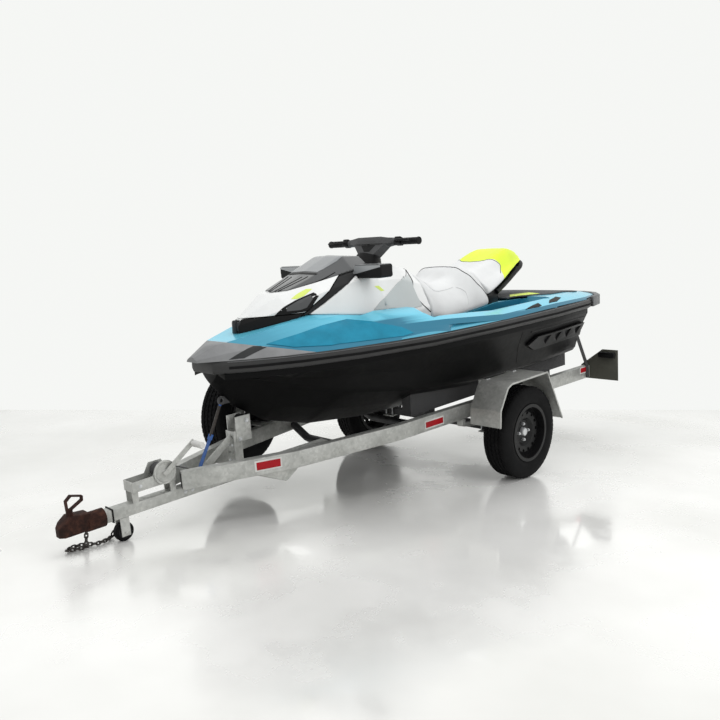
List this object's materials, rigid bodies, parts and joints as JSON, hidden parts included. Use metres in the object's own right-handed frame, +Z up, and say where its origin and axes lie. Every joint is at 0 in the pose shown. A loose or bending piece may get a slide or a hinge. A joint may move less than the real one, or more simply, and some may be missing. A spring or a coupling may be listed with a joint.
{
  "type": "personal watercraft on trailer",
  "caption": "Sit-on personal watercraft with a teal deck, black hull and stepped light seat, parked nose-down on its galvanised single-axle road trailer.",
  "frame": {"origin": "on the ground, in the middle of the overall box", "axes": "+X forward to the bow and coupler, +Y to port, +Z up"},
  "size_m": [4.0403, 1.532, 1.4824],
  "materials": {
    "axle": "galvanised",
    "bow_cap": "charcoal",
    "bow_eye": "stainless",
    "bow_roller": "black",
    "bow_strap": "blue webbing",
    "bunks": "black carpet",
    "console": "white",
    "coupler": "rusty",
    "cowl": "dark grey",
    "cross_members": "galvanised",
    "deck": "teal gelcoat",
    "drawbar": "galvanised",
    "engine": "plain",
    "fenders": "galvanised",
    "footwell_mats": "black",
    "glovebox_lid": "white",
    "grab_handle": "dark grey",
    "grips": "black",
    "gunwale_band": "charcoal",
    "handlebar": "bare",
    "hood": "white",
    "hub_port": "zinc",
    "hub_starboard": "zinc",
    "hull": "moulded black",
    "impeller": "stainless",
    "jockey_fork": "galvanised",
    "jockey_wheel": "black",
    "lamp_plates": "galvanised",
    "mirrors": "silver grey",
    "nose_grille": "black",
    "pump_housing": "cast",
    "rails": "galvanised",
    "reflectors": "red",
    "reverse_bucket": "cast",
    "ride_plate": "cast",
    "rim_port": "black",
    "rim_starboard": "black",
    "safety_chain": "dark, rusty",
    "seat_front": "light grey vinyl",
    "seat_rear": "light grey vinyl",
    "spare_carrier": "galvanised",
    "spare_rim": "black",
    "spare_tyre": "black",
    "sponsons": "moulded black",
    "springs": "galvanised",
    "steering_neck": "dark grey",
    "steering_nozzle": "cast",
    "stern_bumpers": "charcoal",
    "stern_mat": "grey",
    "tail_lamps": "red",
    "tyre_port": "black",
    "tyre_starboard": "black",
    "visor": "dark grey",
    "winch_crank": "zinc plated",
    "winch_drum": "zinc plated",
    "winch_post": "galvanised",
    "winch_stand": "galvanised",
    "winch_strap": "black webbing"
  },
  "bodies": {
    "rig": {"axle": "axle", "bow_cap": "bow_cap", "bow_eye": "bow_eye", "bow_roller": "bow_roller", "bow_strap": "bow_strap", "bunks": "bunks", "console": "console", "coupler": "coupler", "cowl": "cowl", "cross_members": "cross_members", "deck": "deck", "drawbar": "drawbar", "engine": "engine", "fenders": "fenders", "footwell_mats": "footwell_mats", "grab_handle": "grab_handle", "gunwale_band": "gunwale_band", "hull": "hull", "jockey_fork": "jockey_fork", "lamp_plates": "lamp_plates", "mirrors": "mirrors", "nose_grille": "nose_grille", "pump_housing": "pump_housing", "rails": "rails", "reflectors": "reflectors", "ride_plate": "ride_plate", "safety_chain": "safety_chain", "seat_front": "seat_front", "seat_rear": "seat_rear", "spare_carrier": "spare_carrier", "spare_rim": "spare_rim", "spare_tyre": "spare_tyre", "sponsons": "sponsons", "springs": "springs", "stern_bumpers": "stern_bumpers", "stern_mat": "stern_mat", "tail_lamps": "tail_lamps", "winch_crank": "winch_crank", "winch_drum": "winch_drum", "winch_post": "winch_post", "winch_stand": "winch_stand", "winch_strap": "winch_strap"},
    "wheel_port": {"tyre_port": "tyre_port", "rim_port": "rim_port", "hub_port": "hub_port"},
    "wheel_starboard": {"tyre_starboard": "tyre_starboard", "rim_starboard": "rim_starboard", "hub_starboard": "hub_starboard"},
    "jockey": {"jockey_wheel": "jockey_wheel"},
    "storage_lid": {"hood": "hood", "visor": "visor"},
    "glovebox": {"glovebox_lid": "glovebox_lid"},
    "steering": {"steering_neck": "steering_neck", "handlebar": "handlebar", "grips": "grips"},
    "nozzle": {"steering_nozzle": "steering_nozzle"},
    "bucket": {"reverse_bucket": "reverse_bucket"},
    "impeller_body": {"impeller": "impeller"}
  },
  "joints": [
    {"name": "wheel_port_turn", "type": "hinge", "parent": "rig", "child": "wheel_port", "pos_m": [-0.61, 0.656, 0.2875], "axis": [0, 1, 0], "continuous": true},
    {"name": "wheel_starboard_turn", "type": "hinge", "parent": "rig", "child": "wheel_starboard", "pos_m": [-0.61, -0.656, 0.2875], "axis": [0, 1, 0], "continuous": true},
    {"name": "jockey_turn", "type": "hinge", "parent": "rig", "child": "jockey", "pos_m": [1.70752, 0, 0.046], "axis": [0, 1, 0], "continuous": true},
    {"name": "steering_turn", "type": "hinge", "parent": "rig", "child": "steering", "pos_m": [0.06533, 0, 1.35525], "axis": [-0.3174, 0, 0.9483], "range_deg": [-30, 30]},
    {"name": "nozzle_turn", "type": "hinge", "parent": "rig", "child": "nozzle", "pos_m": [-1.9099, 0, 0.71643], "axis": [0.0957, 0, 0.9954], "range_deg": [-20, 20]},
    {"name": "bucket_swing", "type": "hinge", "parent": "rig", "child": "bucket", "pos_m": [-1.77552, 0, 0.7035], "axis": [0, -1, 0], "range_deg": [0, 55]},
    {"name": "impeller_turn", "type": "hinge", "parent": "rig", "child": "impeller_body", "pos_m": [-1.56649, 0, 0.6834], "axis": [0.9954, 0, -0.0957], "continuous": true},
    {"name": "storage_lid_open", "type": "hinge", "parent": "rig", "child": "storage_lid", "pos_m": [1.02495, 0, 1.01279], "axis": [0, 1, 0], "range_deg": [0, 55]},
    {"name": "glovebox_open", "type": "hinge", "parent": "rig", "child": "glovebox", "pos_m": [-0.035, 0, 1.29862], "axis": [0, 1, 0], "range_deg": [0, 70]}
  ],
  "couplings": [
    {"joint": "nozzle_turn", "follows": "steering_turn", "ratio": -0.6667}
  ]
}
